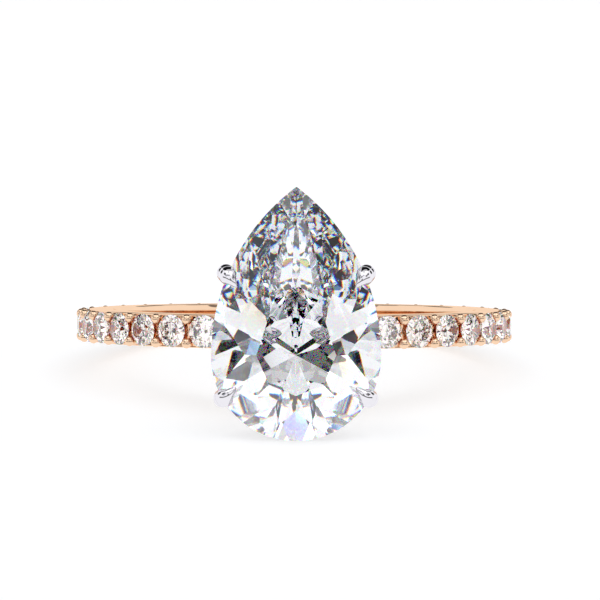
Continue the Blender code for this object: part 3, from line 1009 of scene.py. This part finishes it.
def direction(azimuth, elevation):
    """Unit vector: azimuth 0 looks from the ring towards the camera, positive to the camera's right."""
    a = math.radians(azimuth)
    e = math.radians(elevation)
    return Vector((math.sin(a) * math.cos(e), -math.cos(a) * math.cos(e), math.sin(e)))


def with_cards(nodes, place, cards, line):
    """The pale studio with dark cards standing in it, and a dark line along the front horizon."""
    split = nodes.add("ShaderNodeSeparateXYZ")
    nodes.link(place.outputs["Generated"], split.inputs[0])
    over = nodes.ramp(split.outputs["Z"], line[0] - LINE_EDGE, line[0] + LINE_EDGE, 0.0, 1.0)
    under = nodes.ramp(split.outputs["Z"], line[1] - LINE_EDGE, line[1] + LINE_EDGE, 1.0, 0.0)
    near = nodes.ramp(split.outputs["Y"], -0.1, 0.1, 1.0, 0.0)
    front = nodes.math("MULTIPLY", nodes.math("MULTIPLY", over, under), near)
    colour = nodes.mix_colour(front, WORLD_TONE, CARD_TONE)
    for azimuth, elevation, radius, tone in cards:
        dot = nodes.add("ShaderNodeVectorMath", operation="DOT_PRODUCT")
        nodes.link(place.outputs["Generated"], dot.inputs[0])
        dot.inputs[1].default_value = direction(azimuth, elevation)
        low = math.cos(math.radians(radius + CARD_EDGE))
        high = math.cos(math.radians(radius))
        mask = nodes.ramp(dot.outputs["Value"], low, high, 0.0, 1.0)
        colour = nodes.mix_colour(mask, colour, tone)
    return colour


def build_world():
    """A pale studio over a plain white backdrop. Light through the stones meets cards of its own."""
    world = bpy.data.worlds.new("studio")
    bpy.context.scene.world = world
    world.use_nodes = True
    nodes = Nodes(world.node_tree)
    out = nodes.add("ShaderNodeOutputWorld")
    back = nodes.add("ShaderNodeBackground")
    place = nodes.add("ShaderNodeTexCoord")
    path = nodes.add("ShaderNodeLightPath")
    black = [(*card, CARD_TONE) for card in METAL_CARDS]
    metal = with_cards(nodes, place, black + list(GREY_CARDS), METAL_LINE)
    stone = with_cards(nodes, place, [(*card, CARD_TONE) for card in STONE_CARDS], STONE_LINE)
    colour = nodes.mix_colour(path.outputs["Is Transmission Ray"], metal, stone)
    nodes.link(colour, back.inputs["Color"])
    plain = nodes.add("ShaderNodeBackground")
    plain.inputs["Color"].default_value = (1.0, 1.0, 1.0, 1.0)
    seen = nodes.mix_shader(path.outputs["Is Camera Ray"], back.outputs[0], plain.outputs[0])
    nodes.link(seen, out.inputs["Surface"])


def area_light(name, azimuth, elevation, distance, size, power):
    data = bpy.data.lights.new(name, "AREA")
    data.shape = "RECTANGLE"
    data.size, data.size_y = size
    data.energy = power
    light = bpy.data.objects.new(name, data)
    bpy.context.scene.collection.objects.link(light)
    light.location = direction(azimuth, elevation) * distance
    light.rotation_euler = direction(azimuth, elevation).to_track_quat("Z", "Y").to_euler()


def build_lights():
    area_light("softbox_top", 20, 80, 1.2, (1.6, 1.4), 5.0)


def build_camera():
    data = bpy.data.cameras.new("camera")
    data.lens = CAMERA_LENS
    data.sensor_width = 36.0
    data.clip_start = 0.01
    data.clip_end = 20.0
    camera = bpy.data.objects.new("camera", data)
    bpy.context.scene.collection.objects.link(camera)
    e = CAMERA_ELEVATION
    a = CAMERA_AZIMUTH
    offset = Vector((-math.sin(a) * math.cos(e), -math.cos(a) * math.cos(e), math.sin(e)))
    back = (RING.to_3x3() @ offset).normalized()
    right = Vector((0, 0, 1)).cross(back).normalized()
    up = back.cross(right)
    aim = RING.translation + right * AIM_RIGHT + up * AIM_UP
    turn = Matrix((right, up, back)).transposed().to_4x4() @ Matrix.Rotation(CAMERA_ROLL, 4, "Z")
    camera.matrix_world = Matrix.Translation(aim + back * CAMERA_DISTANCE) @ turn
    bpy.context.scene.camera = camera


def set_light_paths():
    scene = bpy.context.scene
    scene.view_settings.view_transform = "Standard"
    scene.cycles.max_bounces = 24
    scene.cycles.transmission_bounces = 20
    scene.cycles.glossy_bounces = 10
    scene.cycles.diffuse_bounces = 3
    scene.cycles.sample_clamp_indirect = 6.0


build_shank()
build_melee()
build_pear()
build_rails()
build_claws()
build_bridge()
build_floor()
build_world()
build_lights()
build_camera()
set_light_paths()
